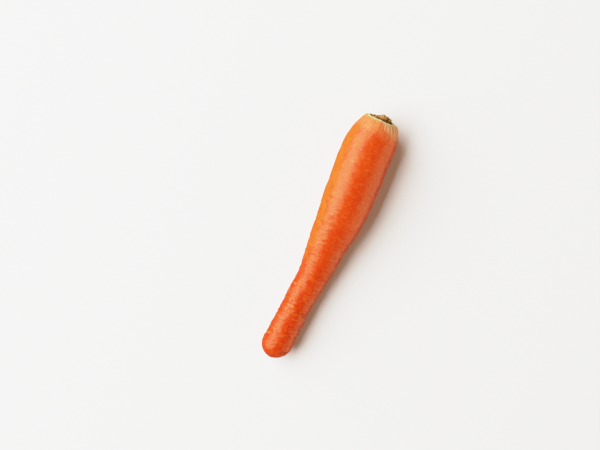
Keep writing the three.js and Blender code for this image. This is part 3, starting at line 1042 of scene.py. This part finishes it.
from_rim_field = skin.field("from_rim")
pleat = skin.field("pleat")
strands = skin.noise(skin.place((0.75, 0.1, 0.75), (5, 5, 5)))
ragged = skin.add(from_rim_field, skin.ease(strands, 0.3, 0.7, -3, 3))
# Painted highlight: the collar is laid all round the rim.
colour = skin.mix(skin.ease(ragged, 15, 6, 0, 0.85), colour, COLLAR_AND_SHEEN)
bleached = skin.mix(skin.ease(pleat, 0.25, -0.5), SUNNED_AND_SHEEN, SUNNED_GROOVE)
# Bleached skin with a painted sheen on it.
colour = skin.mix(skin.ease(skin.field("sunned"), 0.15, 0.9, 0, 0.75), colour, bleached)

crest = skin.mix(skin.ease(grain, 0.38, 0.6), RIM, CREST)
crest = skin.mix(skin.ease(pleat, 0.1, -0.5, 0, 0.8), crest, OLIVE_EDGE)
rim_strip = skin.add(from_rim_field, skin.ease(strands, 0.3, 0.7, -0.6, 0.6))
for ring, starts, full, strength in [
    # in mm from the rim, negative inside the crater
    (OLIVE_EDGE, 3, 1.6, 0.85),
    (RIM, 0.9, 0.2, 0.95),
    (crest, -0.3, -0.8, 0.9),
    (WITHERED, -1, -1.7, 0.85),
    # painted shade: the crater's skin darkens the deeper it lies
    (DRY_BROWN_AND_SHADE, -2.6, -3.6, 1),
    (DARK_BROWN_AND_SHADE, -3.6, -5, 1),
]:
    colour = skin.mix(skin.ease(rim_strip, starts, full, 0, strength), colour, ring)
colour = skin.mix(skin.ease(skin.field("from_tip"), 2.2, 1.2, 0, 0.85), colour, DRY_BROWN_AND_SHADE)
print("Nodes after the rim:", len(skin.tree.nodes))

# %% [markdown]
# ## Gloss, depth and the finest bumps
#
# Washed skin has a soft waxy gloss, which is duller at the rim and on the scuffs. Light also goes a few
# millimetres into the flesh and comes out redder, which Subsurface does. Its share is small, or the wrinkles
# would look like wax.
#
# Anything finer than the mesh's rows is a bump: a change of shading only, which costs no points. The specular
# tint warms the gloss, as the skin filters what it mirrors. Towards the tail the tint is darker, which dims
# the gloss there as painted shade, but the skin is a little smoother, so that the tops of the wrinkles glint.

# %% Gloss, depth and fine bumps
GLOSS_TINT = (1, 0.84, 0.43)
# Painted shade: a darker tint dims the gloss towards the tail.
SHADED_TAIL_GLOSS_TINT = (0.84, 0.67, 0.35)
LIGHT_DEPTH = 0.0025  # how far light goes into the flesh, in metres
SKIN_BUMP = 0.00016  # in metres

fine = skin.noise(skin.place((2.2, 3.4, 2.2)), detail=4, roughness=0.65)
bumps = skin.add(skin.times(fine, 0.25), skin.times(streaks, 0.6))
bumps = skin.add(bumps, skin.times(grain, 1.7))
gloss = skin.add(skin.ease(clouds, 0.3, 0.7, 0.27, 0.36), skin.ease(from_rim_field, 8, 0, 0, 0.25))
gloss = skin.add(gloss, skin.ease(skin.field("scuff"), 0.3, 0.9, 0, 0.25))
gloss = skin.add(gloss, skin.ease(from_rim_field, 95, 140, 0, -0.03))
skin.set(
    Base_Color=colour,
    Roughness=gloss,
    Specular_IOR_Level=0.48,
    Specular_Tint=skin.mix(skin.ease(from_rim_field, 88, 135), GLOSS_TINT, SHADED_TAIL_GLOSS_TINT),
    Subsurface_Weight=0.2,
    Subsurface_Radius=(1, 0.35, 0.12),
    Subsurface_Scale=LIGHT_DEPTH,
    Normal=skin.bump(bumps, distance=SKIN_BUMP),
)
root_mesh.materials.append(skin.material)
print("Nodes in the skin:", len(skin.tree.nodes))

# %% [markdown]
# ## Dry leaf stalks
#
# The stubs have dried for days. Their cuts are ochre and tan, their sides darker, with fibres that run along
# the stalk. In the crater they are painted nearly black as painted shade, less so on the +Y side. Nothing on
# them shines.
#
# The tuft hasn't been bent, so its patterns can use the plain position, in metres. The fibres are noise that
# is scaled ten times less along the root than across it.

# %% Dry stalks
CUT_TAN = (0.57, 0.31, 0.11)
OCHRE = (0.43, 0.23, 0.036)
FIBRE_SCALE = (150, 1500, 1500)  # along the root and across it
STALK_BUMP = 0.0002

dry = Finish("dry leaf stalk")
position = dry.node("ShaderNodeNewGeometry", {}).outputs["Position"]
along_fibres = dry.node("ShaderNodeMapping", {"Vector": position, "Scale": FIBRE_SCALE})
fibres = dry.noise(along_fibres.outputs["Vector"], roughness=0.7)
coarse = dry.noise(position, detail=4, roughness=0.5, scale=500)
shade_depth = dry.add(dry.field("depth"), dry.ease(coarse, 0.3, 0.7, -0.5, 0.5))

colour = dry.mix(dry.ease(coarse, 0.35, 0.65), OCHRE, CUT_TAN)
sides = dry.mix(dry.ease(fibres, 0.4, 0.58, 0, 0.78), colour, DRY_BROWN_AND_SHADE)
sides = dry.mix(dry.ease(fibres, 0.55, 0.75, 0, 0.7), sides, DARK_BROWN_AND_SHADE)
colour = dry.mix(dry.ease(dry.field("cut"), 0.2, 0.9), sides, colour)
# Painted shade: the stubs are painted darker the deeper they stand in the crater.
colour = dry.mix(dry.ease(shade_depth, -2.7, -1, 0, 0.9), colour, DRY_BROWN_AND_SHADE)
colour = dry.mix(dry.ease(shade_depth, -1.8, 0.2), colour, DARK_BROWN_AND_SHADE)
bumps = dry.bump(dry.add(coarse, fibres), distance=STALK_BUMP)
dry.set(Base_Color=colour, Roughness=0.8, Specular_IOR_Level=0.15, Normal=bumps)
fused.materials.append(dry.material)
print("Nodes in the dry stalks:", len(dry.tree.nodes))

# %% [markdown]
# ## Floor
#
# The carrot lies on white paper, which throws pale light back on its flanks. A plain square plane would do,
# but its corners reach further than its sides. A large disc is alike all round.
#
# A real sheet ends somewhere, and so does its mirror image in the gloss. Far from the carrot that image
# would only veil the colour of the lower flanks, so glossy rays don't see the floor.

# %% Floor
FLOOR_RADIUS = 1.85
FLOOR_CORNERS = 96
PAPER_WHITE = (0.8, 0.81, 0.8)

turns = [2 * math.pi * i / FLOOR_CORNERS for i in range(FLOOR_CORNERS)]
edge = [(FLOOR_RADIUS * math.cos(turn), FLOOR_RADIUS * math.sin(turn), 0) for turn in turns]
floor_mesh = bpy.data.meshes.new("floor")
floor_mesh.from_pydata(edge, [], [tuple(range(FLOOR_CORNERS))])
floor = bpy.data.objects.new("floor", floor_mesh)
bpy.context.scene.collection.objects.link(floor)
floor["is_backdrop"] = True
floor.visible_glossy = False

paper = Finish("white paper")
paper.set(Base_Color=PAPER_WHITE, Roughness=0.7)
floor_mesh.materials.append(paper.material)
print("The floor is", 2 * FLOOR_RADIUS, "m across")

# %% [markdown]
# ## A lamp
#
# A sun lamp is the simplest light, but its highlight is a hard spark on every wrinkle. On a glossy round
# thing a lamp shows as its mirror image, so its shape is the shape of the highlight. Area lamps have a
# shape. `place_lamp` stands one in a given direction from the carrot and turns it to face the carrot.

# %% Place a lamp
LIGHT_DISTANCE = 1.9
LEFTWARDS = (-0.9, 0.44)  # in the picture: right, up

to_left = (LEFTWARDS[0] * right + LEFTWARDS[1] * up).normalized()
along_light = to_left.cross(away).normalized()


def place_lamp(name, out, shift_along):
    """An area lamp whose back faces the direction out, and whose length runs along the carrot."""
    lamp = bpy.data.objects.new(name, bpy.data.lights.new(name, "AREA"))
    turned = Matrix((along_light.cross(out), along_light, out)).transposed().to_4x4()
    spot = CAMERA_TARGET + LIGHT_DISTANCE * out + shift_along * along_light
    lamp.matrix_world = Matrix.Translation(spot) @ turned
    bpy.context.scene.collection.objects.link(lamp)
    print(name, "stands", round(spot.z, 2), "m high")
    return lamp.data


print("The left of the picture is towards", [round(part, 2) for part in to_left])

# %% [markdown]
# ## Softbox and reflector
#
# One large softbox, more than three metres long, stands to the left of the picture. Its mirror image is the
# long soft stripe down the root. It is shifted towards the tail, because the crown's gloss is weaker. A gold
# reflector stands low on the right, its lower half under the floor, and fills the shaded flank.

# %% Softbox and reflector
SOFTBOX_WIDTH = 2.45
SOFTBOX_LENGTH = 3.4
SOFTBOX_TURN = math.radians(50)  # down from the camera's axis
SOFTBOX_SHIFT = -0.45  # along the carrot; negative is towards the tail
SOFTBOX_ENERGY = 169
REFLECTOR_SIZE = 2.2
REFLECTOR_TURN = math.radians(93)
REFLECTOR_ENERGY = 48
REFLECTOR_GOLD = (1, 0.7, 0.42)

softbox_out = math.cos(SOFTBOX_TURN) * away + math.sin(SOFTBOX_TURN) * to_left
softbox = place_lamp("softbox", softbox_out, SOFTBOX_SHIFT)
softbox.shape = "RECTANGLE"
softbox.size = SOFTBOX_WIDTH
softbox.size_y = SOFTBOX_LENGTH
softbox.energy = SOFTBOX_ENERGY

reflector_out = math.cos(REFLECTOR_TURN) * away - math.sin(REFLECTOR_TURN) * to_left
reflector = place_lamp("gold reflector", reflector_out, 0)
reflector.size = REFLECTOR_SIZE
reflector.energy = REFLECTOR_ENERGY
reflector.color = REFLECTOR_GOLD

# %% [markdown]
# ## The room
#
# Walls would throw a little light from everywhere. Instead of building them, a dim warm world stands for
# them: it is what every ray meets that leaves the scene.

# %% Room
ROOM_COLOUR = (1, 0.8, 0.55, 1)
ROOM_STRENGTH = 0.16

room = bpy.data.worlds.new("room")
room.use_nodes = True
walls = room.node_tree.nodes["Background"]
walls.inputs["Color"].default_value = ROOM_COLOUR
walls.inputs["Strength"].default_value = ROOM_STRENGTH
bpy.context.scene.world = room
print("The room shines with a strength of", ROOM_STRENGTH)

# %% [markdown]
# ## Tones of the picture
#
# Plain tones clip: the orange turns to yellow where a highlight is too bright for the screen. AgX or Filmic
# would avoid that, but wash out a strong orange. So we keep the Standard view and give it a film's
# *shoulder*: dark and middle tones stay as they are, and bright ones are pressed together.

# %% Tones
FILM_SHOULDER = [(0.5, 0.5), (0.8, 0.73), (1.2, 0.86), (2, 0.93)]  # light in the scene, shown
WHITE_LEVEL = 4  # the strongest light that the curve tells apart
BRIGHTEST = 0.98  # how that light is shown

view = bpy.context.scene.view_settings
view.view_transform = "Standard"
view.use_curve_mapping = True
film = view.curve_mapping
film.white_level = (WHITE_LEVEL, WHITE_LEVEL, WHITE_LEVEL)
curve = film.curves[3]
curve.points[0].location = (0, 0)
curve.points[1].location = (1, BRIGHTEST)
for light, shown in FILM_SHOULDER:
    curve.points.new(light / WHITE_LEVEL, shown)
film.update()
print("The shoulder has", len(curve.points), "points")

# %% [markdown]
# ## Sizes
#
# The fine pieces must fill the box that the CAD solids filled, so the fine box is written down.

# %% Sizes
low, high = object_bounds()
print("Fine box in mm:", [round(1000 * side, 1) for side in high - low])
